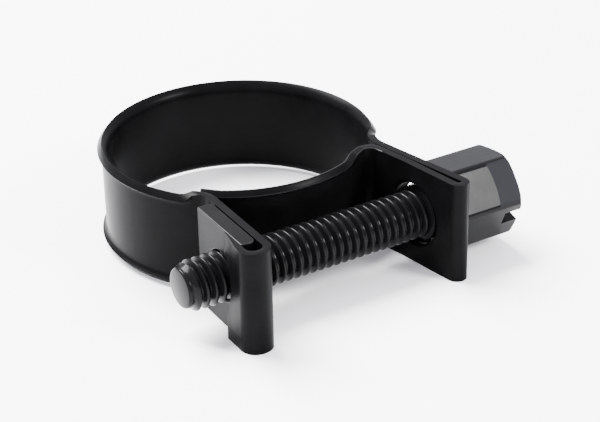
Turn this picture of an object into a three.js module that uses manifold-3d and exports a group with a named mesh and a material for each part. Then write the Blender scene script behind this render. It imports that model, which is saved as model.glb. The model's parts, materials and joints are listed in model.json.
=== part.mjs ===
// Small hose clamp: a one-piece steel band with two folded ears, a flat nut
// plate held in one ear and a slotted hexagon-head screw through both.
// Millimetres. The clamp lies on its side: +Z runs along the hose, the screw
// lies along X with its head at +X, and both ears point to -Y.
import * as THREE from "three";
import { mergeVertices } from "three/addons/utils/BufferGeometryUtils.js";
import Module from "manifold-3d";

// Band
const bandWidth = 8.14;            // along the hose
const stripThickness = 0.6;
const ringInnerRadius = 10.1;     // hose 20 mm across
const flareOut = 0.34;            // how far the edges roll outward
const flareHeight = 1.0;          // how far the roll reaches in from each edge
const flareDrop = 0.17;           // a rolled edge stands this much lower
const flareRows = [0, 0.35, 0.7, 1];   // heights that shape it, as shares of its reach
const flareFade = 2.4;            // length over which the roll dies out
const tipFlareFade = 1.6;         // the roll grows from the tongue's tip over this
const tongueFlareEnd = 1.0;       // the tongue's roll ends this far past its arc
const rightFlareShare = 0.5;      // how much of the fade lies past the ring's ends
const leftFlareShare = 0.1;
const ringRightAngle = -29;       // ring ends here, degrees from +X
const ringLeftAngle = 221;
const rightFootRadius = 2.6;      // bend from the ring into the head ear
const leftFootRadius = 1.7;       // bend from the ring into the nut ear
const flexGap = 0.2;              // slit left at each flexing place
const creaseFlexAt = 0.9;         // past the tongue's arc
const rightFootFlexAt = 1.1;      // before the ring's start
const leftFootFlexAt = 0.6;       // before the ring's end
const foldRoundness = 0.95;       // of a full half circle
const tongueStep = 6;             // degrees between stations on each kind of bend
const ringStep = 5;
const bendStep = 14;
const shortestStep = 0.02;        // between two stations
const mergeGap = 1e-5;            // corners closer than this are one

// Screw, M4 x 0.7
const screwToRing = 2.3;          // screw's axis, out from the ring's inner circle
const threadRadius = 1.92;
const threadDepth = 0.4;
const threadPitch = 0.7;
const threadLeadIn = 0.6;         // thread grows from the tip over this length
const threadRunOut = 0.7;         // and dies out before the head
const plainNeck = 0.9;
const tipReach = 3.42;            // past the nut plate
const tipChamfer = 0.35;
const tipNarrow = 0.21;
const headSeatGap = 0.082;        // head to the ear's foremost place
const headLength = 5.7;
const acrossFlats = 6.4;
const acrossCorners = 7.2;
const headTurn = 36;              // a flat faces this far above -Y, degrees
const headChamfer = 0.25;         // along the screw
const headChamferIn = 0.375;      // and towards its axis
const slotWidth = 1.2;
const slotDepth = 1.5;
const slotTurn = -17;

// Head ear: two layers, folded back on itself at the front
const headEarSetIn = 0.914;       // its face, in from the ring's right end
const headEarRoot = 1.07;         // where that is measured, out from the ring
const headEarInnerLean = 7.3;     // degrees from square to the screw
const headEarOuterLean = 10.5;
const headEarLayerGap = 0.09;     // between the layers, at the same place
const earReach = 4.75;            // front of the head ear past the screw's axis
const creaseRadius = 0.95;        // bend from the ear into the tongue
const headHoleClearance = 0.53;   // radial, to the thread

// Tongue that bridges the gap inside the ring
const tongueFaceOut = 0.34;       // its front face's radius, past the ring's
const tongueCentreX = 0.3;
const tongueCentreY = 0.94;
const tongueStraight = 2.52;      // from the arc's end to the head ear, along X
const tongueStraightRise = 14;    // degrees
const tongueTipGap = 0.0926;      // tip to the ring's inner face
const tongueTipAngle = 223;       // degrees from +X
const tongueTipLength = 1.4;      // along X

// Nut ear and its plate
const nutEarSetIn = 0.8226;       // its face, in from the ring's left end
const nutEarRoot = -0.8;          // where that is measured, out from the ring
const nutEarLean = 2.1;
const nutFoldAhead = 0.45;        // this fold reaches past the other one
const lipLength = 2.0;
const lipNotchClearance = 0.53;   // radial, to the thread
const nutEarHoleClearance = 0.33;
const plateThickness = 1.24;
const plateClearance = 0.04;      // to each side of the fold
const plateLength = 6.75;
const plateReach = 3.45;          // from the screw's axis towards the ring
const plateCorner = 0.45;
const plateCornerDepth = 0.27;
const plateBreak = 0.15;          // small broken corner on its far face
const plateEndShare = 0.42;       // of its thickness, at its rounded front end
const plateInset = 0.05;          // plate stands in from the band's edges
const threadClearance = 0.12;     // radial, plate bore to thread

const rad = THREE.MathUtils.degToRad;
const half = stripThickness / 2;
const ringMid = ringInnerRadius + half;
const screwZ = bandWidth / 2;

// Places that follow from the ring, the screw and the plate.
const screwY = -(ringInnerRadius + screwToRing);
const earFrontY = screwY - earReach;
const headEarX = ringInnerRadius * Math.cos(rad(ringRightAngle)) - headEarSetIn;
const headEarY = -(ringInnerRadius + headEarRoot);
const nutEarX = ringInnerRadius * Math.cos(rad(ringLeftAngle)) + nutEarSetIn;
const nutEarY = -(ringInnerRadius + nutEarRoot);
const tongueRadius = ringInnerRadius + tongueFaceOut - half;
const tipRadius = ringInnerRadius - half - tongueTipGap;
const tongueTip = [tipRadius * Math.cos(rad(tongueTipAngle)), tipRadius * Math.sin(rad(tongueTipAngle))];
const tongueLeftX = tongueTip[0] + tongueTipLength;
const tongueRightX = headEarX - tongueStraight;
const foldInnerWidth = plateThickness + 2 * plateClearance;
const headHoleRadius = threadRadius + headHoleClearance;
const nutEarHoleRadius = threadRadius + nutEarHoleClearance;
const lipNotchRadius = threadRadius + lipNotchClearance;

// ---- the band's centre line, seen from above -------------------------------

function meet(p, d, q, e) {
  const t = ((q[0] - p[0]) * e[1] - (q[1] - p[1]) * e[0]) / (d[0] * e[1] - d[1] * e[0]);
  return [p[0] + d[0] * t, p[1] + d[1] * t];
}

function arc(cx, cy, r, a0, a1, stepDeg) {
  const n = Math.max(2, Math.ceil(Math.abs(a1 - a0) / stepDeg));
  return Array.from({ length: n + 1 }, (_, i) => {
    const a = rad(a0 + ((a1 - a0) * i) / n);
    return [cx + r * Math.cos(a), cy + r * Math.sin(a)];
  });
}

// Corner points carry a third number, the radius that rounds them.
function roundCorners(corners, stepDeg) {
  const out = [];
  corners.forEach((c, i) => {
    if (!c[2]) { out.push([c[0], c[1]]); return; }
    const a = new THREE.Vector2(...corners[i - 1].slice(0, 2));
    const b = new THREE.Vector2(c[0], c[1]);
    const d = new THREE.Vector2(...corners[i + 1].slice(0, 2));
    const u = a.clone().sub(b).normalize();
    const v = d.clone().sub(b).normalize();
    const open = Math.acos(THREE.MathUtils.clamp(u.dot(v), -1, 1));
    const back = c[2] / Math.tan(open / 2);
    const start = b.clone().addScaledVector(u, back);
    const end = b.clone().addScaledVector(v, back);
    const centre = b.clone().addScaledVector(u.clone().add(v).normalize(), c[2] / Math.sin(open / 2));
    const a0 = Math.atan2(start.y - centre.y, start.x - centre.x);
    let a1 = Math.atan2(end.y - centre.y, end.x - centre.x);
    if (a1 - a0 > Math.PI) a1 -= 2 * Math.PI;
    if (a0 - a1 > Math.PI) a1 += 2 * Math.PI;
    out.push(...arc(centre.x, centre.y, c[2], (a0 * 180) / Math.PI, (a1 * 180) / Math.PI, stepDeg));
  });
  return out;
}

const innerDir = [Math.sin(rad(headEarInnerLean)), -Math.cos(rad(headEarInnerLean))];
const outerDir = [Math.sin(rad(headEarOuterLean)), -Math.cos(rad(headEarOuterLean))];
const innerAt = [headEarX + half, headEarY];
const outerAt = [headEarX + 3 * half + headEarLayerGap, headEarY];
const frontLine = [0, earFrontY + half];
const frontInner = meet(innerAt, innerDir, frontLine, [1, 0]);
const frontOuter = meet(outerAt, outerDir, frontLine, [1, 0]);
const headFold = Math.abs(frontOuter[0] - frontInner[0]) / 2;

const tongueAngle = (x) => -(Math.acos((x - tongueCentreX) / tongueRadius) * 180) / Math.PI;
const tongueArc = arc(tongueCentreX, tongueCentreY, tongueRadius,
  tongueAngle(tongueLeftX), tongueAngle(tongueRightX), tongueStep);
const tongueEnd = tongueArc[tongueArc.length - 1];
const rise = [Math.cos(rad(tongueStraightRise)), Math.sin(rad(tongueStraightRise))];
// The layers run side by side down to the root's measure, then part slightly.
const crease = meet(tongueEnd, rise, innerAt, outerDir);

const ringArc = arc(0, 0, ringMid, ringRightAngle, ringLeftAngle, ringStep);
const ringStart = ringArc[0];
const ringEnd = ringArc[ringArc.length - 1];
const rightTangent = [-Math.sin(rad(ringRightAngle)), Math.cos(rad(ringRightAngle))];
const leftTangent = [-Math.sin(rad(ringLeftAngle)), Math.cos(rad(ringLeftAngle))];
const rightFoot = meet(ringStart, rightTangent, outerAt, outerDir);
const nutDir = [-Math.sin(rad(nutEarLean)), -Math.cos(rad(nutEarLean))];
const nutAt = [nutEarX - half, nutEarY];
const leftFoot = meet(ringEnd, leftTangent, nutAt, nutDir);

const nutFold = (foldInnerWidth + stripThickness) / 2;
const nutFrontY = earFrontY - nutFoldAhead + half;
const foldA = meet(nutAt, nutDir, [0, nutFrontY], [1, 0]);
const lipLine = [nutAt[0] - (2 * nutFold) / Math.cos(rad(nutEarLean)), nutAt[1]];
const foldB = meet(lipLine, nutDir, [0, nutFrontY], [1, 0]);
const lipEnd = [foldB[0] - nutDir[0] * (lipLength + nutFold), foldB[1] - nutDir[1] * (lipLength + nutFold)];

// The screw's ends: the head just clears the leaning ear, the tip stands out
// of the plate.
const headBaseX = outerAt[0] + half / Math.cos(rad(headEarOuterLean)) + headSeatGap
  + (headEarY - screwY + acrossCorners / 2) * Math.tan(rad(headEarOuterLean));
const plateFace = -half - plateClearance;
const plateX = (y, off) => nutAt[0] + (y - nutAt[1]) * Math.tan(rad(nutEarLean)) + off;
const screwTipX = plateX(screwY, plateFace - plateThickness) - tipReach;

const corners = [
  tongueTip, ...tongueArc, [...crease, creaseRadius], innerAt,
  [...frontInner, headFold * foldRoundness], [...frontOuter, headFold * foldRoundness],
  [...rightFoot, rightFootRadius], ...ringArc, [...leftFoot, leftFootRadius],
  [...foldA, nutFold * foldRoundness], [...foldB, nutFold * foldRoundness], lipEnd,
];
const centreLine = roundCorners(corners, bendStep);
const along = [0];
for (let i = 1; i < centreLine.length; i++) {
  along.push(along[i - 1] + Math.hypot(centreLine[i][0] - centreLine[i - 1][0],
    centreLine[i][1] - centreLine[i - 1][1]));
}

function nearest(p) {
  let best = 0;
  centreLine.forEach((q, i) => {
    if (Math.hypot(q[0] - p[0], q[1] - p[1]) < Math.hypot(centreLine[best][0] - p[0],
      centreLine[best][1] - p[1])) best = i;
  });
  return along[best];
}

function pointAt(s) {
  let i = 1;
  while (i < along.length - 1 && along[i] < s) i++;
  const t = (s - along[i - 1]) / (along[i] - along[i - 1]);
  const [a, b] = [centreLine[i - 1], centreLine[i]];
  return [a[0] + (b[0] - a[0]) * t, a[1] + (b[1] - a[1]) * t];
}

const sTongueEnd = nearest(tongueEnd);
const sRingStart = nearest(ringStart);
const sRingEnd = nearest(ringEnd);
const sEnd = along[along.length - 1];
const smooth = (x) => { const t = THREE.MathUtils.clamp(x, 0, 1); return t * t * (3 - 2 * t); };
// 1 where the edges are rolled outward, 0 on the flat ears.
const flareAt = (s) => Math.max(
  Math.min(smooth(s / tipFlareFade), smooth((sTongueEnd + tongueFlareEnd - s) / flareFade)),
  Math.min(
    smooth((s - sRingStart) / flareFade + rightFlareShare),
    smooth((sRingEnd - s) / flareFade + leftFlareShare)));

// ---- solids ----------------------------------------------------------------

const wasm = await Module();
wasm.setup();

function solid(geometry) {
  const g = geometry.clone();
  g.deleteAttribute("normal");
  g.deleteAttribute("uv");
  const m = mergeVertices(g, mergeGap);
  return new wasm.Manifold(new wasm.Mesh({
    numProp: 3,
    vertProperties: new Float32Array(m.attributes.position.array),
    triVerts: new Uint32Array(m.index.array),
  }));
}

function geometryOf(manifold) {
  const mesh = manifold.getMesh();
  const g = new THREE.BufferGeometry();
  g.setAttribute("position", new THREE.BufferAttribute(new Float32Array(mesh.vertProperties), 3));
  g.setIndex(new THREE.BufferAttribute(new Uint32Array(mesh.triVerts), 1));
  g.computeVertexNormals();
  return g;
}

// A grid of closed loops, one after another, closed at both ends.
function skin(loops) {
  const n = loops[0].length;
  const position = loops.flat().flat();
  const index = [];
  for (let i = 0; i + 1 < loops.length; i++) {
    for (let j = 0; j < n; j++) {
      const [a, b] = [i * n + j, i * n + ((j + 1) % n)];
      index.push(a, b, b + n, a, b + n, a + n);
    }
  }
  const capBase = (loops.length - 1) * n;
  const flat = loops[0].map((p) => new THREE.Vector2(p[3], p[4]));
  const turn = Math.sign(THREE.ShapeUtils.area(flat));
  for (const t of THREE.ShapeUtils.triangulateShape(flat, [])) {
    const sameWay = Math.sign(THREE.ShapeUtils.area(t.map((k) => flat[k]))) === turn;
    const [a, b, c] = sameWay ? t : t.slice().reverse();
    index.push(c, b, a, capBase + a, capBase + b, capBase + c);
  }
  const g = new THREE.BufferGeometry();
  const xyz = [];
  for (let i = 0; i < position.length; i += 5) xyz.push(position[i], position[i + 1], position[i + 2]);
  g.setAttribute("position", new THREE.Float32BufferAttribute(xyz, 3));
  g.setIndex(index);
  return g;
}

// The strip's outline square to its length, as [outward, height] pairs, in
// the order that turns about the direction of travel.
function stripSection(flare) {
  const low = flareRows.map((share) => share * flareHeight);
  const levels = [...low, ...low.map((z) => bandWidth - z).reverse()];
  const fromEdge = (z) => Math.min(z, bandWidth - z) / flareHeight;
  const near = (z) => Math.max(0, 1 - fromEdge(z));
  const roll = (z) => flareOut * flare * near(z) ** 2;
  const drop = (z) => Math.sign(bandWidth / 2 - z) * flareDrop * flare * near(z);
  return [
    ...levels.map((z) => [-half + roll(z), z + drop(z)]),
    ...levels.slice().reverse().map((z) => [half + roll(z), z + drop(z)]),
  ];
}

// The strip from one place along the centre line to another.
function strip(s0, s1) {
  const stations = [s0, ...along.filter((s) => s > s0 + shortestStep && s < s1 - shortestStep), s1];
  const loops = stations.map((s, i) => {
    const p = pointAt(s);
    const a = pointAt(i ? stations[i - 1] : Math.max(s - shortestStep, 0));
    const b = pointAt(i < stations.length - 1 ? stations[i + 1] : Math.min(s + shortestStep, sEnd));
    const d1 = new THREE.Vector2(p[0] - a[0], p[1] - a[1]);
    const d2 = new THREE.Vector2(b[0] - p[0], b[1] - p[1]);
    if (d1.length() > 0) d1.normalize();
    if (d2.length() > 0) d2.normalize();
    const t = d1.clone().add(d2).normalize();
    const widen = d1.length() && d2.length() ? 1 / Math.max(0.5, t.dot(d2)) : 1;
    return stripSection(flareAt(s)).map(([u, z]) => {
      const out = u * widen;
      return [p[0] + t.y * out, p[1] - t.x * out, z, u, z];
    });
  });
  return solid(skin(loops));
}

const roundSides = 48;
function rodAlongX(radius, x0, x1, y, z) {
  const g = new THREE.CylinderGeometry(radius, radius, x1 - x0, roundSides);
  g.rotateZ(Math.PI / 2);
  g.translate((x0 + x1) / 2, y, z);
  return solid(g);
}

const group = new THREE.Group();
const black = { color: 0x1b1b1d, roughness: 0.32, metalness: 0.85 };
function add(name, manifold, look = black) {
  const mesh = new THREE.Mesh(geometryOf(manifold), new THREE.MeshStandardMaterial(look));
  mesh.name = name;
  group.add(mesh);
}

// Places where the strip flexes: the crease, the right foot, three on the
// ring, the left foot. The stretches between them stay rigid.
const ringLength = sRingEnd - sRingStart;
const flex = [
  sTongueEnd + creaseFlexAt, sRingStart - rightFootFlexAt,
  ...[1, 2, 3].map((k) => sRingStart + (ringLength * k) / 4), sRingEnd - leftFootFlexAt,
];
const slit = flexGap / 2;

// The head ear's two layers meet in the middle of its fold.
const earDrill = rodAlongX(headHoleRadius, 0, headBaseX + headLength, screwY, screwZ);
const earMiddle = nearest([(frontInner[0] + frontOuter[0]) / 2, earFrontY + half]);
add("band_tongue", strip(0, flex[0] - slit));
add("band_head_ear_inner", strip(flex[0] + slit, earMiddle).subtract(earDrill));
add("band_head_ear_outer", strip(earMiddle, flex[1] - slit).subtract(earDrill));
["band_ring_right", "band_ring_back_right", "band_ring_back_left", "band_ring_left"].forEach((name, i) => {
  add(name, strip(flex[i + 1] + slit, flex[i + 2] - slit));
});
const notchReach = nutEarX - half - foldInnerWidth / 2 - stripThickness;
add("band_nut_ear", strip(flex[5] + slit, sEnd)
  .subtract(rodAlongX(nutEarHoleRadius, screwTipX, 0, screwY, screwZ))
  .subtract(rodAlongX(lipNotchRadius, screwTipX, notchReach, screwY, screwZ)));

// Nut plate: a flat block inside the fold, leaning with the ear.
const plateShape = new THREE.Shape();
const plateStart = screwY + plateReach;
const plateEnd = plateStart - plateLength;
const endRound = plateThickness * plateEndShare;
[
  [plateStart - plateCorner, plateFace],
  [plateStart, plateFace - plateCornerDepth],
  [plateStart, plateFace - plateThickness + plateBreak],
  [plateStart - plateBreak, plateFace - plateThickness],
  [plateEnd + endRound, plateFace - plateThickness],
  [plateEnd, plateFace - plateThickness + endRound],
  [plateEnd, plateFace - endRound],
  [plateEnd + endRound, plateFace],
].forEach(([y, off], i) => {
  if (i) plateShape.lineTo(plateX(y, off), y);
  else plateShape.moveTo(plateX(y, off), y);
});
const plateDepth = bandWidth - 2 * plateInset;
const plateBlock = new THREE.ExtrudeGeometry(plateShape, { depth: plateDepth, bevelEnabled: false });
plateBlock.translate(0, 0, plateInset);
add("nut_plate", solid(plateBlock)
  .subtract(rodAlongX(threadRadius + threadClearance, screwTipX, headEarX, screwY, screwZ)),
{ color: 0x222224, roughness: 0.34, metalness: 0.85 });

// Screw: rounded rolled thread, then the hexagon head with its slot.
const sides = 16;
const rowsPerTurn = 5;
const threadEndX = headBaseX - plainNeck;
const rootRadius = threadRadius - threadDepth;
const rows = [];
const rowCount = Math.ceil((threadEndX - screwTipX) / threadPitch) * rowsPerTurn;
const loopAt = (x, radiusAt) => Array.from({ length: sides }, (_, j) => {
  const a = (2 * Math.PI * j) / sides;
  const r = radiusAt(a);
  return [x, r * Math.cos(a), r * Math.sin(a), r * Math.cos(a), r * Math.sin(a)];
});
for (let i = 0; i <= rowCount; i++) {
  const x = screwTipX + ((threadEndX - screwTipX) * i) / rowCount;
  const taper = Math.min(1, (x - screwTipX) / tipChamfer);
  const fade = smooth((threadEndX - x) / threadRunOut) * smooth((x - screwTipX) / threadLeadIn);
  rows.push(loopAt(x, (a) => {
    const wave = 0.5 + 0.5 * Math.cos(2 * Math.PI * (x / threadPitch) - a);
    return rootRadius - tipNarrow * (1 - taper) + threadDepth * fade * wave;
  }));
}
rows.push(loopAt(headBaseX + plainNeck / 2, () => rootRadius)); // reaches into the head
const shank = solid(skin(rows));

const hexShape = new THREE.Shape();
for (let k = 0; k < 6; k++) {
  const a = rad(k * 60 + 30 + headTurn);
  const r = acrossFlats / Math.sqrt(3);
  const p = [-r * Math.cos(a), r * Math.sin(a)];
  if (k) hexShape.lineTo(...p); else hexShape.moveTo(...p);
}
// Drawn as seen along the screw: first number is Y, second is Z.
const hex = new THREE.ExtrudeGeometry(hexShape, { depth: headLength, bevelEnabled: false });
hex.applyMatrix4(new THREE.Matrix4().makeBasis(
  new THREE.Vector3(0, 1, 0), new THREE.Vector3(0, 0, 1), new THREE.Vector3(1, 0, 0)));
const cornerRadius = acrossCorners / 2;
const turned = new THREE.LatheGeometry([
  [0, 0], [cornerRadius - headChamferIn, 0], [cornerRadius, headChamfer],
  [cornerRadius, headLength - headChamfer], [cornerRadius - headChamferIn, headLength],
  [0, headLength],
].map((p) => new THREE.Vector2(...p)), roundSides);
turned.rotateZ(-Math.PI / 2);
const slot = new THREE.BoxGeometry(slotDepth * 2, acrossFlats * 2, slotWidth);
slot.rotateX(rad(-slotTurn));
slot.translate(headLength, 0, 0);
const head = solid(hex).intersect(solid(turned)).subtract(solid(slot)).translate(headBaseX, 0, 0);
add("screw", shank.add(head).translate(0, screwY, screwZ),
  { color: 0x2a2a2d, roughness: 0.26, metalness: 0.9 });

// Origin: centre of the footprint, on the surface the clamp lies on.
const box = new THREE.Box3().setFromObject(group);
const centre = box.getCenter(new THREE.Vector3());
group.position.set(-centre.x, -centre.y, -box.min.z);
group.updateMatrixWorld(true);

export default group;
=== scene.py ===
# Small hose clamp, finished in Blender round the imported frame.
import json
import math
import bpy
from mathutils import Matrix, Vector


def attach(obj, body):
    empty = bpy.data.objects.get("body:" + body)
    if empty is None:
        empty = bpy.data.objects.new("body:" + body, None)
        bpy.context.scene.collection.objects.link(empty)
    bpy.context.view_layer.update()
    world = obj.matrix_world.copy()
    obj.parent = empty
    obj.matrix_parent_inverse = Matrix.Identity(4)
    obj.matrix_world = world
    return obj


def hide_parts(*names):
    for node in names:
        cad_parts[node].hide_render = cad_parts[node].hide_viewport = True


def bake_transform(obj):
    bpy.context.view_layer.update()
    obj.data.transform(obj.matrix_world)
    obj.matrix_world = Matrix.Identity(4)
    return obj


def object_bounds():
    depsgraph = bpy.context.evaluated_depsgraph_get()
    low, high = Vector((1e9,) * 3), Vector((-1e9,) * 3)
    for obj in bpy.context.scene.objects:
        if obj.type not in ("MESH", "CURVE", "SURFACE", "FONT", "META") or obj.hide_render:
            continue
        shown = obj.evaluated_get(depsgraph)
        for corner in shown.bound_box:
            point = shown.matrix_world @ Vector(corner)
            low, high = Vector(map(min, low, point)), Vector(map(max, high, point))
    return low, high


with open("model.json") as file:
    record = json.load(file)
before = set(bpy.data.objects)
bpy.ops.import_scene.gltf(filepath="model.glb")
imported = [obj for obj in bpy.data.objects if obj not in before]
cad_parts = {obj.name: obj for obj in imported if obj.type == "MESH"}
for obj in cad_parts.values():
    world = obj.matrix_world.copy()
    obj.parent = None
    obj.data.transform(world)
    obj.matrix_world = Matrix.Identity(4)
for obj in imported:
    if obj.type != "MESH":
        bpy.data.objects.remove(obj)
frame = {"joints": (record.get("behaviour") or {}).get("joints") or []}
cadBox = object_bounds()
mm = 0.001

# ---- camera ----
viewFrom = {"place": (-63.07, -112.0, 69.12), "turn": (62.11, 1.053, -32.066), "lens": 108.83}


def makeCamera():
    data = bpy.data.cameras.new("viewCamera")
    data.lens = viewFrom["lens"]
    data.sensor_width = 36
    data.clip_start = 0.005
    data.clip_end = 10
    data.dof.use_dof = False
    camera = bpy.data.objects.new("viewCamera", data)
    bpy.context.scene.collection.objects.link(camera)
    camera.location = inFrame(*viewFrom["place"])
    camera.rotation_euler = [math.radians(a) for a in viewFrom["turn"]]
    bpy.context.scene.camera = camera


# ---- sizes in millimetres, in the clamp's own axes: the ring's centre is at x = y = 0 ----
band = {
    "width": 8.14, "thickness": 0.6, "ringInnerRadius": 10.1,
    "rollOut": 0.44, "rollHeight": 1.0, "rollFade": 2.4,
    "tipRollFade": 1.6, "tipRollShare": 0.3, "tongueRollEnd": 1.0,
    "rightRollShare": 0.5, "leftRollShare": 0.1, "leftRollFade": 0.8, "rimDrop": 0.37,
    "ringRightAngle": -29, "ringLeftAngle": 221, "rightFootRadius": 2.6, "leftFootRadius": 1.7,
    "foldRoundness": 0.95, "edgeRound": 0.12, "edgeSegments": 3,
    "ringStep": 2.5, "bendStep": 7,
    "cutSteps": (11, 37, 62, 87), "creaseBend": 0.85, "footBend": 1.2, "ringBend": 4.6,
}
headEar = {
    "setIn": 0.914, "root": 1.07, "innerLean": 7.3, "outerLean": 10.5, "layerGap": 0.09,
    "reach": 4.75, "creaseRadius": 0.95, "holeRadius": 2.45, "rimRound": 0.3,
}
tongue = {
    "faceOut": 0.34, "centreX": 0.3, "centreY": 0.94, "straight": 2.52, "rise": 14,
    "tipGap": 0.0926, "tipAngle": 223, "tipLength": 1.4, "easeRadius": 3.0, "seamY": -9.0,
    "seamOverlap": 0.4,
}
nutEar = {
    "setIn": 0.8226, "root": -0.8, "lean": 2.1, "foldAhead": 0.45, "lipLength": 2.0,
    "lipRise": 0.95, "lipThinning": 0.5,
    "holeRadius": 2.25, "notchRadius": 2.45, "rimRound": 0.16,
}
plate = {
    "thickness": 1.24, "clearance": 0.04, "length": 6.75, "reach": 3.45, "inset": 0.05,
    "cornerRound": 0.42, "endRound": 0.42, "lipSideRound": 0.2, "innerRound": 0.14,
    "edgeRound": 0.1, "boreClearance": 0.03,
}
screw = {
    "fromRing": 2.3, "threadRadius": 1.92, "threadDepth": 0.4, "pitch": 0.7, "stepsPerTurn": 48,
    "tipReach": 3.42, "tipShape": ((0, 1.36), (0.03, 1.45), (0.1, 1.52), (0.35, 1.57)), "tipLead": 0.85,
    "neck": 0.9, "shoulderRadius": 2.2, "shoulderLength": 1.8,
    "headSeatGap": 0.082,
    "headLength": 5.7, "acrossFlats": 6.4, "acrossCorners": 7.2, "cornerRound": 0.3, "headTurn": 36,
    "endChamfer": 0.22, "baseChamfer": 0.4, "slotWidth": 1.2, "slotDepth": 1.5, "slotTurn": -17,
    "edgeRound": 0.07, "dullLength": 2.17, "dullBulge": 0.45,
}
half = band["thickness"] / 2
ringMid = band["ringInnerRadius"] + half
screwY = -(band["ringInnerRadius"] + screw["fromRing"])
screwZ = band["width"] / 2
earFrontY = screwY - headEar["reach"]


def rad(angle):
    return math.radians(angle)


def polar(radius, angle, centre=(0, 0)):
    return (centre[0] + radius * math.cos(rad(angle)), centre[1] + radius * math.sin(rad(angle)))


def meet(p, d, q, e):
    # where the line from p along d crosses the line from q along e
    t = ((q[0] - p[0]) * e[1] - (q[1] - p[1]) * e[0]) / (d[0] * e[1] - d[1] * e[0])
    return (p[0] + d[0] * t, p[1] + d[1] * t)


# ---- the strip's centre line: a list of stations, each x, y ----
def arcStations(centre, radius, fromAngle, toAngle, step):
    count = max(2, round(abs(toAngle - fromAngle) / step))
    return [polar(radius, fromAngle + (toAngle - fromAngle) * i / count, centre) for i in range(count + 1)]


def roundedCorner(before, corner, after, radius, step):
    p, c, n = Vector(before), Vector(corner), Vector(after)
    u, v = (p - c).normalized(), (n - c).normalized()
    opening = u.angle(v)
    start = c + u * (radius / math.tan(opening / 2))
    end = c + v * (radius / math.tan(opening / 2))
    centre = c + (u + v).normalized() * (radius / math.sin(opening / 2))
    fromAngle = math.degrees(math.atan2(start.y - centre.y, start.x - centre.x))
    turn = math.degrees(math.atan2(end.y - centre.y, end.x - centre.x)) - fromAngle
    turn = (turn + 180) % 360 - 180
    return arcStations(centre, radius, fromAngle, fromAngle + turn, step)


ringStart = polar(ringMid, band["ringRightAngle"])
ringEnd = polar(ringMid, band["ringLeftAngle"])
headEarX = band["ringInnerRadius"] * math.cos(rad(band["ringRightAngle"])) - headEar["setIn"]
headEarY = -(band["ringInnerRadius"] + headEar["root"])
nutEarX = band["ringInnerRadius"] * math.cos(rad(band["ringLeftAngle"])) + nutEar["setIn"]
nutEarY = -(band["ringInnerRadius"] + nutEar["root"])
innerDir = (math.sin(rad(headEar["innerLean"])), -math.cos(rad(headEar["innerLean"])))
outerDir = (math.sin(rad(headEar["outerLean"])), -math.cos(rad(headEar["outerLean"])))
nutDir = (-math.sin(rad(nutEar["lean"])), -math.cos(rad(nutEar["lean"])))
innerAt = (headEarX + half, headEarY)
outerAt = (headEarX + 3 * half + headEar["layerGap"], headEarY)
nutAt = (nutEarX - half, nutEarY)
frontLine = (0, earFrontY + half)
nutFrontLine = (0, earFrontY - nutEar["foldAhead"] + half)
innerFront = meet(innerAt, innerDir, frontLine, (1, 0))
outerFront = meet(outerAt, outerDir, frontLine, (1, 0))
headFold = (outerFront[0] - innerFront[0]) / 2
nutFold = (plate["thickness"] + 2 * plate["clearance"] + band["thickness"]) / 2
rightFoot = meet(ringStart, (-math.sin(rad(band["ringRightAngle"])), math.cos(rad(band["ringRightAngle"]))),
                 outerAt, outerDir)
leftFoot = meet(ringEnd, (-math.sin(rad(band["ringLeftAngle"])), math.cos(rad(band["ringLeftAngle"]))),
                nutAt, nutDir)
foldNear = meet(nutAt, nutDir, nutFrontLine, (1, 0))
lipAt = (nutAt[0] - 2 * nutFold / math.cos(rad(nutEar["lean"])), nutAt[1])
foldFar = meet(lipAt, nutDir, nutFrontLine, (1, 0))
lipRun = nutEar["lipLength"] + nutFold + nutEar["lipRise"]
lipEnd = (foldFar[0] - nutDir[0] * lipRun, foldFar[1] - nutDir[1] * lipRun)


def onInnerLayer(y):
    return meet((0, y), (1, 0), innerAt, outerDir)


def spaced(stations):
    # drops stations that nearly coincide with the one before
    kept = [stations[0]]
    for place in stations[1:]:
        if math.dist(place, kept[-1]) > 0.05:
            kept.append(place)
    return kept


def tongueStations():
    radius = band["ringInnerRadius"] + tongue["faceOut"] - half
    centre = (tongue["centreX"], tongue["centreY"])
    tip = polar(band["ringInnerRadius"] - half - tongue["tipGap"], tongue["tipAngle"])
    fromAngle = -math.degrees(math.acos((tip[0] + tongue["tipLength"] - centre[0]) / radius))
    toAngle = -math.degrees(math.acos((headEarX - tongue["straight"] - centre[0]) / radius))
    end = Vector(polar(radius, toAngle, centre))
    along = Vector((math.cos(rad(tongue["rise"])), math.sin(rad(tongue["rise"]))))
    side = Vector((along.y, -along.x))
    # a small bend the other way leads from the arc into the straight
    ease = tongue["easeRadius"]
    offset = end + side * ease - Vector(centre)
    b, c = offset.dot(along), offset.length_squared - (radius + ease) ** 2
    reach = -b + math.sqrt(b * b - c)
    easeCentre = end + side * ease + along * reach
    easeFrom = math.degrees(math.atan2(*(Vector(centre) - easeCentre).yx))
    easeTo = math.degrees(math.atan2(*(-side).yx))
    leave = math.degrees(math.atan2(*(easeCentre - Vector(centre)).yx))
    easeTo = easeFrom + (easeTo - easeFrom + 180) % 360 - 180
    seam, overlap = tongue["seamY"], tongue["seamOverlap"]
    crease = meet(end, along, innerAt, outerDir)
    bend = roundedCorner(end, crease, innerAt, headEar["creaseRadius"], band["bendStep"])
    return ([tip] + arcStations(centre, radius, fromAngle, leave, band["ringStep"])
            + arcStations(easeCentre, ease, easeFrom, easeTo, 2)[1:] + bend
            + [onInnerLayer(seam + overlap), onInnerLayer(seam - overlap)])


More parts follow.
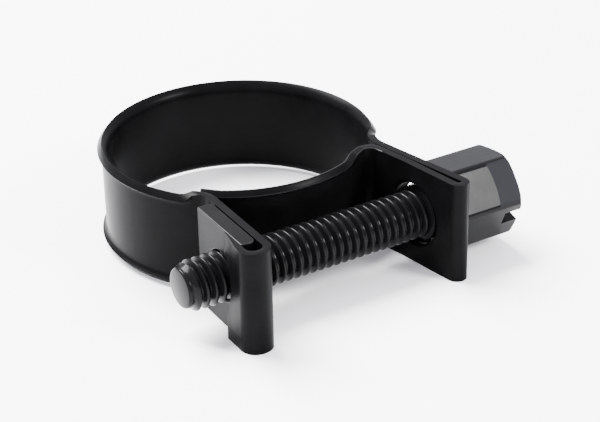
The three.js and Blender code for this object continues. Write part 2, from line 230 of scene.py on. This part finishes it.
def mainStations():
    fold = headFold * band["foldRoundness"]
    nut = nutFold * band["foldRoundness"]
    step = band["bendStep"]
    ring = arcStations((0, 0), ringMid, band["ringRightAngle"], band["ringLeftAngle"], band["ringStep"])
    seam, overlap = tongue["seamY"], tongue["seamOverlap"]
    lip = [Vector(foldFar).lerp(Vector(lipEnd), k / 10) for k in range(4, 11)]
    return ([onInnerLayer(seam + overlap), onInnerLayer(seam - overlap), innerAt]
            + roundedCorner(innerAt, innerFront, outerFront, fold, step * 2)
            + roundedCorner(innerFront, outerFront, rightFoot, fold, step * 2)
            + roundedCorner(outerFront, rightFoot, ringStart, band["rightFootRadius"], step / 2) + ring
            + roundedCorner(ringEnd, leftFoot, foldNear, band["leftFootRadius"], step / 2)
            + roundedCorner(leftFoot, foldNear, foldFar, nut, step)
            + roundedCorner(foldNear, foldFar, lipEnd, nut, step) + [tuple(v) for v in lip])


# ---- small helpers for modelling with operators ----
def startFresh():
    if bpy.context.mode != "OBJECT":
        bpy.ops.object.mode_set(mode="OBJECT")
    bpy.ops.object.select_all(action="DESELECT")


def only(piece):
    startFresh()
    piece.select_set(True)
    bpy.context.view_layer.objects.active = piece


def named(name):
    piece = bpy.context.object
    piece.name = name
    piece.data.name = name
    return piece


def editMode(piece, kind="VERT"):
    only(piece)
    bpy.ops.object.mode_set(mode="EDIT")
    bpy.ops.mesh.select_mode(type=kind)
    bpy.ops.mesh.select_all(action="DESELECT")


def pick(piece, kind, chosen):
    # selects vertices, edges or faces that the test accepts, by their place
    editMode(piece, kind)
    bpy.ops.object.mode_set(mode="OBJECT")
    parts = {"VERT": piece.data.vertices, "EDGE": piece.data.edges, "FACE": piece.data.polygons}[kind]
    found = 0
    for part in parts:
        part.select = chosen(part)
        found += part.select
    bpy.ops.object.mode_set(mode="EDIT")
    return found


def applyAll(piece):
    only(piece)
    for modifier in list(piece.modifiers):
        bpy.ops.object.modifier_apply(modifier=modifier.name)


def applyPlace(piece):
    only(piece)
    bpy.ops.object.transform_apply(location=True, rotation=True, scale=True)


def cleaned(piece, gap=1e-4):
    editMode(piece)
    bpy.ops.mesh.select_all(action="SELECT")
    bpy.ops.mesh.remove_doubles(threshold=gap)
    bpy.ops.mesh.normals_make_consistent(inside=False)
    bpy.ops.object.mode_set(mode="OBJECT")


def combine(piece, other, operation):
    join = piece.modifiers.new("join", "BOOLEAN")
    join.operation = operation
    join.solver = "EXACT"
    join.object = other
    applyAll(piece)
    bpy.data.objects.remove(other)


def softenEdges(piece, width, segments, sharperThan, edgeMaterial=-1):
    bevel = piece.modifiers.new("soften", "BEVEL")
    bevel.width = width
    bevel.segments = segments
    bevel.limit_method = "ANGLE"
    bevel.angle_limit = rad(sharperThan)
    bevel.miter_outer = "MITER_ARC"
    # the bevel faces take the given slot; the callers pass a lighter edge coating, a painted highlight
    bevel.material = edgeMaterial
    applyAll(piece)


def copyOf(piece, name):
    twin = piece.copy()
    twin.data = piece.data.copy()
    twin.name = name
    twin.data.name = name
    bpy.context.scene.collection.objects.link(twin)
    return twin


def keepSide(piece, through, normal):
    # cuts the piece by a plane and keeps what lies on the normal's side
    editMode(piece)
    bpy.ops.mesh.select_all(action="SELECT")
    bpy.ops.mesh.bisect(plane_co=through, plane_no=normal, use_fill=True, clear_inner=True, threshold=1e-5)
    bpy.ops.object.mode_set(mode="OBJECT")


def rodAlongX(name, radius, x0, x1, y, z, sides=96):
    startFresh()
    bpy.ops.mesh.primitive_cylinder_add(vertices=sides, radius=radius, depth=x1 - x0,
                                        location=((x0 + x1) / 2, y, z), rotation=(0, rad(90), 0))
    rod = named(name)
    applyPlace(rod)
    return rod


def threadLine(name, points):
    # a chain of edges drawn point by point: the start of a turned or a threaded shape
    startFresh()
    bpy.ops.mesh.primitive_plane_add(size=1, location=(0, 0, 0))
    line = named(name)
    editMode(line)
    bpy.ops.mesh.select_all(action="SELECT")
    bpy.ops.mesh.merge(type="CENTER")
    bpy.ops.transform.translate(value=(points[0][0], points[0][1], 0))
    for a, b in zip(points, points[1:]):
        bpy.ops.mesh.extrude_region_move(TRANSFORM_OT_translate={"value": (b[0] - a[0], b[1] - a[1], 0)})
    bpy.ops.object.mode_set(mode="OBJECT")
    return line


def turned(name, points, steps=96):
    # a lathe: x and radius, from axis to axis
    piece = threadLine(name, points)
    editMode(piece)
    bpy.ops.mesh.select_all(action="SELECT")
    bpy.ops.mesh.spin(steps=steps, angle=rad(360), center=(0, 0, 0), axis=(1, 0, 0))
    cleaned(piece)
    return piece


tipX = nutAt[0] + (screwY - nutAt[1]) * math.tan(rad(nutEar["lean"])) - half - plate["clearance"] \
    - plate["thickness"] - screw["tipReach"]
headX = outerAt[0] + half / math.cos(rad(headEar["outerLean"])) + screw["headSeatGap"] \
    + (headEarY - screwY + screw["acrossCorners"] / 2) * math.tan(rad(headEar["outerLean"]))
# the screw's tip and the front of the nut ear touch the low sides of the frame's box
shift = (cadBox[0][0] / mm - tipX, cadBox[0][1] / mm - (earFrontY - nutEar["foldAhead"]))


def inFrame(x, y, z=0.0):
    return ((x + shift[0]) * mm, (y + shift[1]) * mm, z * mm)


def placeInFrame(piece, smoothUnder=30):
    piece.scale = (mm, mm, mm)
    piece.location = inFrame(0, 0)
    applyPlace(piece)
    only(piece)
    bpy.ops.object.shade_smooth_by_angle(angle=rad(smoothUnder))
    even = piece.modifiers.new("even", "WEIGHTED_NORMAL")
    even.keep_sharp = True
    applyAll(piece)
    bpy.ops.object.select_all(action="DESELECT")


# ---- the band ----
def smooth(t):
    t = min(max(t, 0), 1)
    return t * t * (3 - 2 * t)


def rollAlong(stations, isTongue):
    # how far the edges are rolled at each station, 0 to 1
    along = [0.0]
    for a, b in zip(stations, stations[1:]):
        along.append(along[-1] + math.dist(a, b))

    def nearest(place):
        return along[min(range(len(stations)), key=lambda i: math.dist(stations[i], place))]

    fade = band["rollFade"]
    if isTongue:
        radius = band["ringInnerRadius"] + tongue["faceOut"] - half
        endX = headEarX - tongue["straight"]
        endY = tongue["centreY"] - math.sqrt(radius ** 2 - (endX - tongue["centreX"]) ** 2)
        last = nearest((endX, endY)) + band["tongueRollEnd"]
        return [min(smooth(s / band["tipRollFade"] + band["tipRollShare"]), smooth((last - s) / fade))
                for s in along]
    first, last = nearest(ringStart), nearest(ringEnd)
    return [min(smooth((s - first) / fade + band["rightRollShare"]),
                smooth((last - s) / band["leftRollFade"] + band["leftRollShare"])) for s in along]


def stripSheet(name, stations):
    # an upright facet, drawn out from station to station
    a, b = Vector(stations[0]), Vector(stations[1])
    startFresh()
    heading = math.atan2(b.y - a.y, b.x - a.x)
    bpy.ops.mesh.primitive_plane_add(size=1, rotation=(rad(90), 0, heading),
                                     location=((a.x + b.x) / 2, (a.y + b.y) / 2, band["width"] / 2))
    sheet = named(name)
    sheet.scale = ((b - a).length, band["width"], 1)
    applyPlace(sheet)
    pick(sheet, "VERT", lambda v: math.dist(v.co[:2], b) < 1e-3)
    for p, q in zip(stations[1:], stations[2:]):
        bpy.ops.mesh.extrude_region_move(TRANSFORM_OT_translate={"value": (q[0] - p[0], q[1] - p[1], 0)})
    reach = band["rollHeight"]
    for share in (0.1, 0.22, 0.35, 0.5, 0.65, 0.82, 1.0, 1.25):
        for height in (share * reach, band["width"] - share * reach):
            bpy.ops.mesh.select_all(action="SELECT")
            bpy.ops.mesh.bisect(plane_co=(0, 0, height), plane_no=(0, 0, 1), threshold=1e-5)
    bpy.ops.object.mode_set(mode="OBJECT")
    return sheet


def rollEdges(sheet, stations, isTongue):
    amounts = rollAlong(stations, isTongue)
    rolled = sheet.vertex_groups.new(name="rolled")
    low = sheet.vertex_groups.new(name="low")
    high = sheet.vertex_groups.new(name="high")
    for v in sheet.data.vertices:
        fromEdge = min(v.co.z, band["width"] - v.co.z) / band["rollHeight"]
        near = amounts[min(range(len(stations)), key=lambda i: math.dist(stations[i], v.co[:2]))]
        weight = near * max(0, 1 - fromEdge) ** 2
        rolled.add([v.index], weight, "REPLACE")
        side = low if v.co.z < band["width"] / 2 else high
        side.add([v.index], math.sqrt(near) * max(0, 1 - fromEdge), "REPLACE")
    for group, axis, strength in (("rolled", "NORMAL", band["rollOut"]),
                                  ("low", "Z", band["rimDrop"]), ("high", "Z", -band["rimDrop"])):
        move = sheet.modifiers.new(group, "DISPLACE")
        move.vertex_group = group
        move.direction = axis
        move.mid_level = 0
        move.strength = strength
    wall = sheet.modifiers.new("wall", "SOLIDIFY")
    wall.thickness = band["thickness"]
    wall.offset = 0
    wall.use_even_offset = True
    applyAll(sheet)
    sheet.vertex_groups.clear()


def thinLip(piece):
    # the lip's upper prong thins out onto the plate; the lower one is cut short at full thickness
    thinned = piece.vertex_groups.new(name="thinned")
    tan = math.tan(rad(nutEar["lean"]))
    full, end = foldFar[1] + nutFold * 0.6, lipEnd[1]
    for v in piece.data.vertices:
        lineX = lipAt[0] - (lipAt[1] - v.co.y) * tan
        if abs(v.co.x - lineX + half) < 0.06 and full < v.co.y < end + 0.05:
            high = smooth((v.co.z - screwZ) / 1.5)
            thinned.add([v.index], high * smooth((v.co.y - full) / (end - full)), "REPLACE")
    move = piece.modifiers.new("thin", "DISPLACE")
    move.vertex_group = "thinned"
    move.direction = "X"
    move.mid_level = 0
    move.strength = nutEar["lipThinning"]
    applyAll(piece)
    piece.vertex_groups.clear()
    startFresh()
    lowEnd = lipEnd[1] - nutEar["lipRise"]
    bpy.ops.mesh.primitive_cube_add(size=1, location=(lipAt[0], lowEnd + 1, screwZ / 2 - 0.5))
    cutter = named("lipCutter")
    cutter.scale = (1.2, 2, screwZ + 0.6)
    applyPlace(cutter)
    combine(piece, cutter, "DIFFERENCE")


def openSeam(front, main):
    # both strips were drawn past the seam, so that their cut ends keep square edges
    seam = tongue["seamY"]

    def besideSeam(face):
        x, y = face.center.x, face.center.y
        return abs(y - seam) < 0.9 and abs(x - onInnerLayer(y)[0]) < half + 0.02

    for piece, side in ((front, 1), (main, -1)):
        pick(piece, "FACE", besideSeam)
        bpy.ops.mesh.bisect(plane_co=(0, seam, 0), plane_no=(0, side, 0), use_fill=True, clear_inner=True,
                            threshold=1e-5)
        bpy.ops.object.mode_set(mode="OBJECT")


def softenRim(piece, radius, faceX, width):
    # rounds the mouth of a hole on one face of an ear
    def onRim(edge):
        ends = [piece.data.vertices[i].co for i in edge.vertices]
        return all(abs(math.hypot(c.y - screwY, c.z - screwZ) - radius) < 0.02
                   and abs(c.x - faceX(c.y)) < 0.05 for c in ends)
    found = pick(piece, "EDGE", onRim)
    if found:
        bpy.ops.mesh.bevel(offset=width, segments=4, affect="EDGES", clamp_overlap=False)
    bpy.ops.object.mode_set(mode="OBJECT")
    print("rim edges", piece.name, found)


def makeBand(coating, edge):
    frontLine, mainLine = spaced(tongueStations()), spaced(mainStations())
    front = stripSheet("tongueStrip", frontLine)
    rollEdges(front, frontLine, True)
    main = stripSheet("ringStrip", mainLine)
    rollEdges(main, mainLine, False)
    thinLip(main)
    combine(main, rodAlongX("drill", headEar["holeRadius"], 4, 14, screwY, screwZ), "DIFFERENCE")
    notchX = nutAt[0] - nutFold
    combine(main, rodAlongX("drill", nutEar["holeRadius"], notchX, 0, screwY, screwZ), "DIFFERENCE")
    combine(main, rodAlongX("drill", nutEar["notchRadius"], tipX, notchX, screwY, screwZ), "DIFFERENCE")
    innerTan = math.tan(rad(headEar["innerLean"]))
    nutTan = math.tan(rad(nutEar["lean"]))
    faceHalf = half / math.cos(rad(headEar["innerLean"]))
    softenRim(main, headEar["holeRadius"], lambda y: innerAt[0] - faceHalf + (headEarY - y) * innerTan,
              headEar["rimRound"])
    softenRim(main, nutEar["holeRadius"], lambda y: nutAt[0] + half - (nutEarY - y) * nutTan,
              nutEar["rimRound"])
    # the second slot is the lighter edge coating: a painted highlight on the bevelled edges
    for strip in (front, main):
        strip.data.materials.append(coating)
        strip.data.materials.append(edge)
        softenEdges(strip, band["edgeRound"], band["edgeSegments"], 55, 1)
    openSeam(front, main)
    print("band: strips shaped", len(front.data.polygons), len(main.data.polygons))
    return front, main


def jointPlace(name):
    found = next(j for j in frame["joints"] if j["name"] == name)
    return Vector(found["pos_m"])


def splitBand(front, main):
    # the strip shows whole, cut into stretches, each paired with one of the frame's hinges; the frame's band
    # nodes are hidden
    step = band["ringStep"]
    cuts = [band["ringRightAngle"] + step * (k + 0.5) for k in band["cutSteps"]]
    planes = [(-math.sin(rad(a)), math.cos(rad(a)), 0) for a in cuts]

    def opposite(n):
        return tuple(-c for c in n)

    stretches = {
        "bandHeadEar": [(opposite(planes[0]), 0), ((1, 0, 0), 1)],
        "bandRight": [(planes[0], 0), (opposite(planes[1]), 0)],
        "bandBack": [(planes[1], 0), (opposite(planes[2]), 0)],
        "bandLeft": [(planes[2], 0), (opposite(planes[3]), 0)],
        "bandNutEar": [(planes[3], 0), ((-1, 0, 0), -1)],
    }
    pieces = {"bandTongue": front}
    front.name = "bandTongue"
    for name, sides in stretches.items():
        piece = copyOf(main, name)
        for normal, atX in sides:
            keepSide(piece, (atX, 0, 0), normal)
        pieces[name] = piece
    bpy.data.objects.remove(main)
    for piece in pieces.values():
        placeInFrame(piece)
    # for each stretch: its two bodies, its hinge, a sideways direction, a reach to both sides of the hinge,
    # and the frame's nodes it stands in for
    crease, foot, ring = band["creaseBend"], band["footBend"], band["ringBend"]
    bends = {
        "bandTongue": ("tongue", "head_ear", "tongue_flex", (1, 0.12), crease, ["band_tongue"]),
        "bandHeadEar": ("head_ear", "ring_right", "right_foot_flex", (0, 1), foot,
                        ["band_head_ear_inner", "band_head_ear_outer"]),
        "bandRight": ("ring_right", "ring_back_right", "ring_flex_right", None, ring, ["band_ring_right"]),
        "bandBack": ("ring_back_right", "ring_back_left", "ring_flex_back", None, ring,
                     ["band_ring_back_right"]),
        "bandLeft": ("ring_back_left", "ring_left", "ring_flex_left", None, ring, ["band_ring_back_left"]),
        "bandNutEar": ("ring_left", "nut_ear", "left_foot_flex", (0, -1), foot,
                       ["band_ring_left", "band_nut_ear"]),
    }
    centre = Vector(inFrame(0, 0))
    for name, (bodyA, bodyB, joint, way, reach, nodes) in bends.items():
        hinge = jointPlace(joint)
        if way is None:
            out = hinge - centre
            way = (-out.y, out.x)
        step = Vector((way[0], way[1], 0)).normalized() * reach * mm
        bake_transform(pieces[name])
        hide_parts(*nodes)
    print("band: split into", len(pieces), "stretches")
    return pieces


# ---- nut plate ----
def makePlate(coating, edge):
    startFresh()
    topY = screwY + plate["reach"]
    lean = math.tan(rad(nutEar["lean"]))
    midY = topY - plate["length"] / 2
    midX = nutAt[0] + (midY - nutAt[1]) * lean - half - plate["clearance"] - plate["thickness"] / 2
    bpy.ops.mesh.primitive_cube_add(size=1, location=(midX, midY, band["width"] / 2),
                                    rotation=(0, 0, -rad(nutEar["lean"])))
    block = named("nutPlate")
    block.scale = (plate["thickness"], plate["length"], band["width"] - 2 * plate["inset"])
    applyPlace(block)

    def uprightEdge(nearEar, nearRing):
        def test(edge):
            a, b = (block.data.vertices[i].co for i in edge.vertices)
            middle = (a + b) / 2
            faceX = midX + (middle.y - midY) * lean
            return abs(a.z - b.z) > 1 and (middle.x > faceX) == nearEar and (middle.y > midY) == nearRing
        return test

    for nearEar, nearRing, width in ((True, True, plate["cornerRound"]), (False, True, plate["innerRound"]),
                                     (True, False, plate["endRound"]), (False, False, plate["lipSideRound"])):
        pick(block, "EDGE", uprightEdge(nearEar, nearRing))
        bpy.ops.mesh.bevel(offset=width, segments=5, affect="EDGES")
        bpy.ops.object.mode_set(mode="OBJECT")
    bore = screw["threadRadius"] + plate["boreClearance"]
    combine(block, rodAlongX("drill", bore, midX - 3, midX + 3, screwY, screwZ), "DIFFERENCE")
    # the second slot is the lighter edge coating: a painted highlight on the bevelled edges
    block.data.materials.append(coating)
    block.data.materials.append(edge)
    softenEdges(block, plate["edgeRound"], 3, 50, 1)
    placeInFrame(block)
    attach(block, "nut_ear")
    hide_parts("nut_plate")
    print("nut plate done")
    return block


# ---- screw ----
def makeThread():
    root = screw["threadRadius"] - screw["threadDepth"]
    depth, pitch = screw["threadDepth"], screw["pitch"]
    shape = ((0, 0), (0.1, 0.03), (0.2, 0.25), (0.3, 0.62), (0.38, 0.88), (0.46, 0.99), (0.54, 0.99),
             (0.62, 0.88), (0.7, 0.62), (0.8, 0.25), (0.9, 0.03), (1, 0))
    profile = [(tipX - 2 * pitch + along * pitch, root + rise * depth) for along, rise in shape]
    thread = threadLine("screw", profile)
    wind = thread.modifiers.new("wind", "SCREW")
    wind.axis = "X"
    wind.screw_offset = pitch
    wind.steps = screw["stepsPerTurn"]
    wind.render_steps = screw["stepsPerTurn"]
    wind.iterations = math.ceil((headX - tipX) / pitch) + 4
    wind.use_merge_vertices = True
    wind.merge_threshold = 1e-4
    applyAll(thread)
    cleaned(thread)
    keepSide(thread, (tipX - pitch / 2, 0, 0), (1, 0, 0))
    keepSide(thread, (headX + 0.6, 0, 0), (-1, 0, 0))
    cleaned(thread)
    crest = screw["threadRadius"]
    neckX = headX - screw["neck"]
    blank = turned("blank", [(tipX, 0)] + [(tipX + along, radius) for along, radius in screw["tipShape"]] + [
        (tipX + screw["tipLead"], crest), (neckX - 0.5, crest), (neckX, root + 0.02),
        (headX + 0.3, root + 0.02), (headX + 0.3, 0)])
    combine(thread, blank, "INTERSECT")
    shoulder, start = screw["shoulderRadius"], headX - screw["shoulderLength"]
    combine(thread, turned("shoulder", [(start, 0), (start, shoulder - 0.3), (start + 0.15, shoulder),
                                        (headX + 0.3, shoulder), (headX + 0.3, 0)]), "UNION")
    return thread


def makeHead():
    startFresh()
    length = screw["headLength"]
    bpy.ops.mesh.primitive_cylinder_add(vertices=6, radius=screw["acrossFlats"] / math.sqrt(3), depth=length,
                                        location=(headX + length / 2, 0, 0), rotation=(0, rad(90), 0))
    head = named("head")
    applyPlace(head)
    # a corner stands at -Y so far; a flat is wanted at headTurn above it
    head.rotation_euler = (rad(30 - screw["headTurn"]), 0, 0)
    applyPlace(head)

    def alongEdge(edge):
        a, b = (head.data.vertices[i].co for i in edge.vertices)
        return abs(a.x - b.x) > 1

    pick(head, "EDGE", alongEdge)
    bpy.ops.mesh.bevel(offset=screw["cornerRound"], segments=5, affect="EDGES")
    bpy.ops.object.mode_set(mode="OBJECT")
    corner = screw["acrossCorners"] / 2
    ease = screw["endChamfer"]
    envelope = turned("envelope", [
        (headX, 0), (headX, corner - screw["baseChamfer"]), (headX + screw["baseChamfer"] / 2, corner + 0.03),
        (headX + length - ease, corner + 0.03),
        (headX + length - ease * 0.4, corner - ease * 0.6), (headX + length, corner - ease * 1.6),
        (headX + length, 0)], 144)
    combine(head, envelope, "INTERSECT")
    startFresh()
    bpy.ops.mesh.primitive_cube_add(size=1, location=(headX + length, 0, 0),
                                    rotation=(-rad(screw["slotTurn"]), 0, 0))
    cutter = named("slotCutter")
    cutter.scale = (2 * screw["slotDepth"], 12, screw["slotWidth"])
    applyPlace(cutter)
    combine(head, cutter, "DIFFERENCE")
    return head


def makeScrew(finish, edge):
    thread = makeThread()
    print("thread faces", len(thread.data.polygons))
    head = makeHead()
    # the second slot is the lighter edge coating: a painted highlight on the head's bevelled edges
    head.data.materials.append(finish)
    head.data.materials.append(edge)
    thread.data.materials.append(finish)
    softenEdges(head, screw["edgeRound"], 3, 42, 1)
    combine(thread, head, "UNION")
    thread.location = (0, screwY, screwZ)
    applyPlace(thread)
    placeInFrame(thread, 40)
    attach(thread, "screw")
    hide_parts("screw")
    print("screw done", len(thread.data.polygons))
    return thread


# ---- materials ----
def newMaterial(name):
    material = bpy.data.materials.new(name)
    material.use_nodes = True
    nodes = material.node_tree.nodes
    nodes.clear()
    out = nodes.new("ShaderNodeOutputMaterial")
    shader = nodes.new("ShaderNodeBsdfPrincipled")
    material.node_tree.links.new(shader.outputs["BSDF"], out.inputs["Surface"])
    return material, nodes, material.node_tree.links, shader


def mathNode(tree, operation, a, b=None, clamp=False):
    node = tree.nodes.new("ShaderNodeMath")
    node.operation = operation
    node.use_clamp = clamp
    for socket, value in zip(node.inputs, (a, b)):
        if value is None:
            continue
        if isinstance(value, (int, float)):
            socket.default_value = value
        else:
            tree.links.new(value, socket)
    return node.outputs[0]


def mixColours(tree, factor, a, b):
    node = tree.nodes.new("ShaderNodeMix")
    node.data_type = "RGBA"
    tree.links.new(factor, node.inputs["Factor"])
    for socket, value in ((node.inputs["A"], a), (node.inputs["B"], b)):
        if isinstance(value, tuple):
            socket.default_value = value
        else:
            tree.links.new(value, socket)
    return node.outputs["Result"]


def makeCoatingGroup():
    # black coating: cloudy tone, fine rolling streaks along the strip, pin-prick grain
    group = bpy.data.node_groups.new("blackCoating", "ShaderNodeTree")
    face = group.interface
    for name, kind, value in (("Dark", "NodeSocketColor", (0.01, 0.01, 0.011, 1)),
                              ("Light", "NodeSocketColor", (0.03, 0.03, 0.032, 1)),
                              ("Smooth", "NodeSocketFloat", 0.25), ("Rough", "NodeSocketFloat", 0.45),
                              ("Streaks", "NodeSocketFloat", 0.5), ("Grain", "NodeSocketFloat", 0.5)):
        socket = face.new_socket(name, in_out="INPUT", socket_type=kind)
        socket.default_value = value
    for name, kind in (("Colour", "NodeSocketColor"), ("Roughness", "NodeSocketFloat"),
                       ("Height", "NodeSocketFloat")):
        face.new_socket(name, in_out="OUTPUT", socket_type=kind)
    given = group.nodes.new("NodeGroupInput")
    result = group.nodes.new("NodeGroupOutput")
    place = group.nodes.new("ShaderNodeTexCoord").outputs["Object"]

    def noise(scale, detail, stretch=(1, 1, 1)):
        mapping = group.nodes.new("ShaderNodeMapping")
        mapping.inputs["Scale"].default_value = stretch
        group.links.new(place, mapping.inputs["Vector"])
        node = group.nodes.new("ShaderNodeTexNoise")
        node.inputs["Scale"].default_value = scale
        node.inputs["Detail"].default_value = detail
        group.links.new(mapping.outputs["Vector"], node.inputs["Vector"])
        return node.outputs["Fac"]

    clouds = noise(420, 3)
    streaks = noise(160, 4, (1, 1, 26))
    grain = noise(9000, 2)
    speck = mathNode(group, "GREATER_THAN", noise(5200, 1), 0.71)
    tone = mathNode(group, "ADD", mathNode(group, "MULTIPLY", clouds, 0.8),
                    mathNode(group, "MULTIPLY", mathNode(group, "SUBTRACT", streaks, 0.5),
                             given.outputs["Streaks"]), clamp=True)
    tone = mathNode(group, "ADD", tone, mathNode(group, "MULTIPLY", speck, 0.25), clamp=True)
    group.links.new(mixColours(group, tone, given.outputs["Dark"], given.outputs["Light"]),
                    result.inputs["Colour"])
    span = mathNode(group, "SUBTRACT", given.outputs["Rough"], given.outputs["Smooth"])
    rough = mathNode(group, "ADD", given.outputs["Smooth"], mathNode(group, "MULTIPLY", span, tone))
    group.links.new(rough, result.inputs["Roughness"])
    fine = mathNode(group, "MULTIPLY", grain, given.outputs["Grain"])
    lines = mathNode(group, "MULTIPLY", streaks, given.outputs["Streaks"])
    group.links.new(mathNode(group, "ADD", fine, lines), result.inputs["Height"])
    return group


# linear tones, gloss from smooth to rough, and how strongly each coating mirrors its surroundings; the edge
# coatings are lighter, a painted highlight on the rounded edges
coatings = {
    "bandCoating": {"dark": 0.001, "light": 0.004, "smooth": 0.24, "rough": 0.4, "streaks": 0.2,
                    "grain": 0.5, "bump": 0.15, "shine": 0.022},
    # painted highlight: lighter than bandCoating, for the rounded edges
    "bandEdgePaintedHighlight": {"dark": 0.003, "light": 0.012, "smooth": 0.24, "rough": 0.4, "streaks": 0.2,
                 "grain": 0.5, "bump": 0.2, "shine": 0.09},
    "plateCoating": {"dark": 0.001, "light": 0.005, "smooth": 0.26, "rough": 0.42, "streaks": 0.3,
                     "grain": 0.5, "bump": 0.2, "shine": 0.032},
    "screwCoating": {"dark": 0.0015, "light": 0.005, "smooth": 0.16, "rough": 0.3, "streaks": 0.1,
                     "grain": 0.5, "bump": 0.2, "shine": 0.055},
    # painted highlight: lighter than screwCoating, for the rounded edges of the head
    "screwEdgePaintedHighlight": {"dark": 0.004, "light": 0.015, "smooth": 0.16, "rough": 0.34, "streaks": 0.1,
                  "grain": 0.5, "bump": 0.2, "shine": 0.12},
}


def grey(value, blue=1.06):
    return (value, value, value * blue, 1)


def coated(name, group):
    look = coatings[name]
    material, nodes, links, shader = newMaterial(name)
    coat = nodes.new("ShaderNodeGroup")
    coat.node_tree = group
    for key, value in (("Dark", grey(look["dark"])), ("Light", grey(look["light"])),
                       ("Smooth", look["smooth"]), ("Rough", look["rough"]),
                       ("Streaks", look["streaks"]), ("Grain", look["grain"])):
        coat.inputs[key].default_value = value
    links.new(coat.outputs["Colour"], shader.inputs["Base Color"])
    links.new(coat.outputs["Roughness"], shader.inputs["Roughness"])
    raised = nodes.new("ShaderNodeBump")
    raised.inputs["Strength"].default_value = look["bump"]
    raised.inputs["Distance"].default_value = 0.00002
    links.new(coat.outputs["Height"], raised.inputs["Height"])
    links.new(raised.outputs["Normal"], shader.inputs["Normal"])
    shader.inputs["Specular IOR Level"].default_value = look["shine"]
    return material


def screwFinish(group):
    # glossier than the band; a duller, greyer zone covers the last stretch of one flat of the head
    material = coated("screwCoating", group)
    tree = material.node_tree
    shader = next(n for n in tree.nodes if n.type == "BSDF_PRINCIPLED")
    place = tree.nodes.new("ShaderNodeTexCoord").outputs["Object"]
    split = tree.nodes.new("ShaderNodeSeparateXYZ")
    tree.links.new(place, split.inputs[0])
    endX = inFrame(headX + screw["headLength"] - screw["dullLength"], 0)[0]
    out = Vector(inFrame(0, screwY, screwZ))
    dy = mathNode(tree, "SUBTRACT", split.outputs["Y"], out.y)
    dz = mathNode(tree, "SUBTRACT", split.outputs["Z"], out.z)
    radius = mathNode(tree, "SQRT", mathNode(tree, "ADD", mathNode(tree, "MULTIPLY", dy, dy),
                                             mathNode(tree, "MULTIPLY", dz, dz)))
    bulge = mathNode(tree, "MULTIPLY", mathNode(tree, "SUBTRACT", screw["acrossCorners"] / 2 * mm, radius),
                     screw["dullBulge"])
    edgeAt = mathNode(tree, "SUBTRACT", mathNode(tree, "SUBTRACT", split.outputs["X"], endX), bulge)
    zone = mathNode(tree, "MULTIPLY", edgeAt, 30000, clamp=True)
    turn = rad(screw["headTurn"])
    facing = mathNode(tree, "SUBTRACT", mathNode(tree, "MULTIPLY", dz, math.sin(turn)),
                      mathNode(tree, "MULTIPLY", dy, math.cos(turn)))
    onFlat = mathNode(tree, "GREATER_THAN", facing, (screw["acrossFlats"] / 2 - 0.05) * mm)
    zone = mathNode(tree, "MULTIPLY", zone, onFlat)
    old = shader.inputs["Base Color"].links[0].from_socket
    tree.links.new(mixColours(tree, zone, old, (0.009, 0.009, 0.011, 1)), shader.inputs["Base Color"])
    oldRough = shader.inputs["Roughness"].links[0].from_socket
    tree.links.new(mathNode(tree, "ADD", oldRough, mathNode(tree, "MULTIPLY", zone, 0.3)),
                   shader.inputs["Roughness"])
    return material


# ---- floor and light ----
def makeStage():
    startFresh()
    bpy.ops.mesh.primitive_plane_add(size=4, location=(0, 0, cadBox[0][2]))
    floor = named("floor")
    material, nodes, links, shader = newMaterial("paperFloor")
    shader.inputs["Base Color"].default_value = (0.97, 0.97, 0.98, 1)
    shader.inputs["Roughness"].default_value = 0.6
    floor.data.materials.append(material)


def areaLight(name, place, target, size, power, colour=(1, 1, 1)):
    data = bpy.data.lights.new(name, "AREA")
    data.shape = "RECTANGLE"
    data.size, data.size_y = size
    data.energy = power
    data.color = colour
    light = bpy.data.objects.new(name, data)
    bpy.context.scene.collection.objects.link(light)
    light.location = place
    light.rotation_euler = (Vector(target) - Vector(place)).to_track_quat("-Z", "Y").to_euler()


def makeLight():
    world = bpy.data.worlds.new("studio")
    bpy.context.scene.world = world
    world.use_nodes = True
    background = world.node_tree.nodes["Background"]
    background.inputs["Color"].default_value = (0.93, 0.94, 1, 1)
    background.inputs["Strength"].default_value = 2.4
    areaLight("keyLight", (-0.08, 0.28, 0.42), (0, 0, 0), (0.34, 0.34), 22)
    areaLight("frontLight", (0.24, -0.34, 0.3), (0.01, -0.01, 0), (0.12, 0.12), 4)


makeCamera()
coatingGroup = makeCoatingGroup()
bandCoating = coated("bandCoating", coatingGroup)
bandEdgePaintedHighlight = coated("bandEdgePaintedHighlight", coatingGroup)
plateCoating = coated("plateCoating", coatingGroup)
screwCoating = screwFinish(coatingGroup)
screwEdgePaintedHighlight = coated("screwEdgePaintedHighlight", coatingGroup)
print("materials made")
splitBand(*makeBand(bandCoating, bandEdgePaintedHighlight))
makePlate(plateCoating, bandEdgePaintedHighlight)
makeScrew(screwCoating, screwEdgePaintedHighlight)
makeStage()
makeLight()
startFresh()
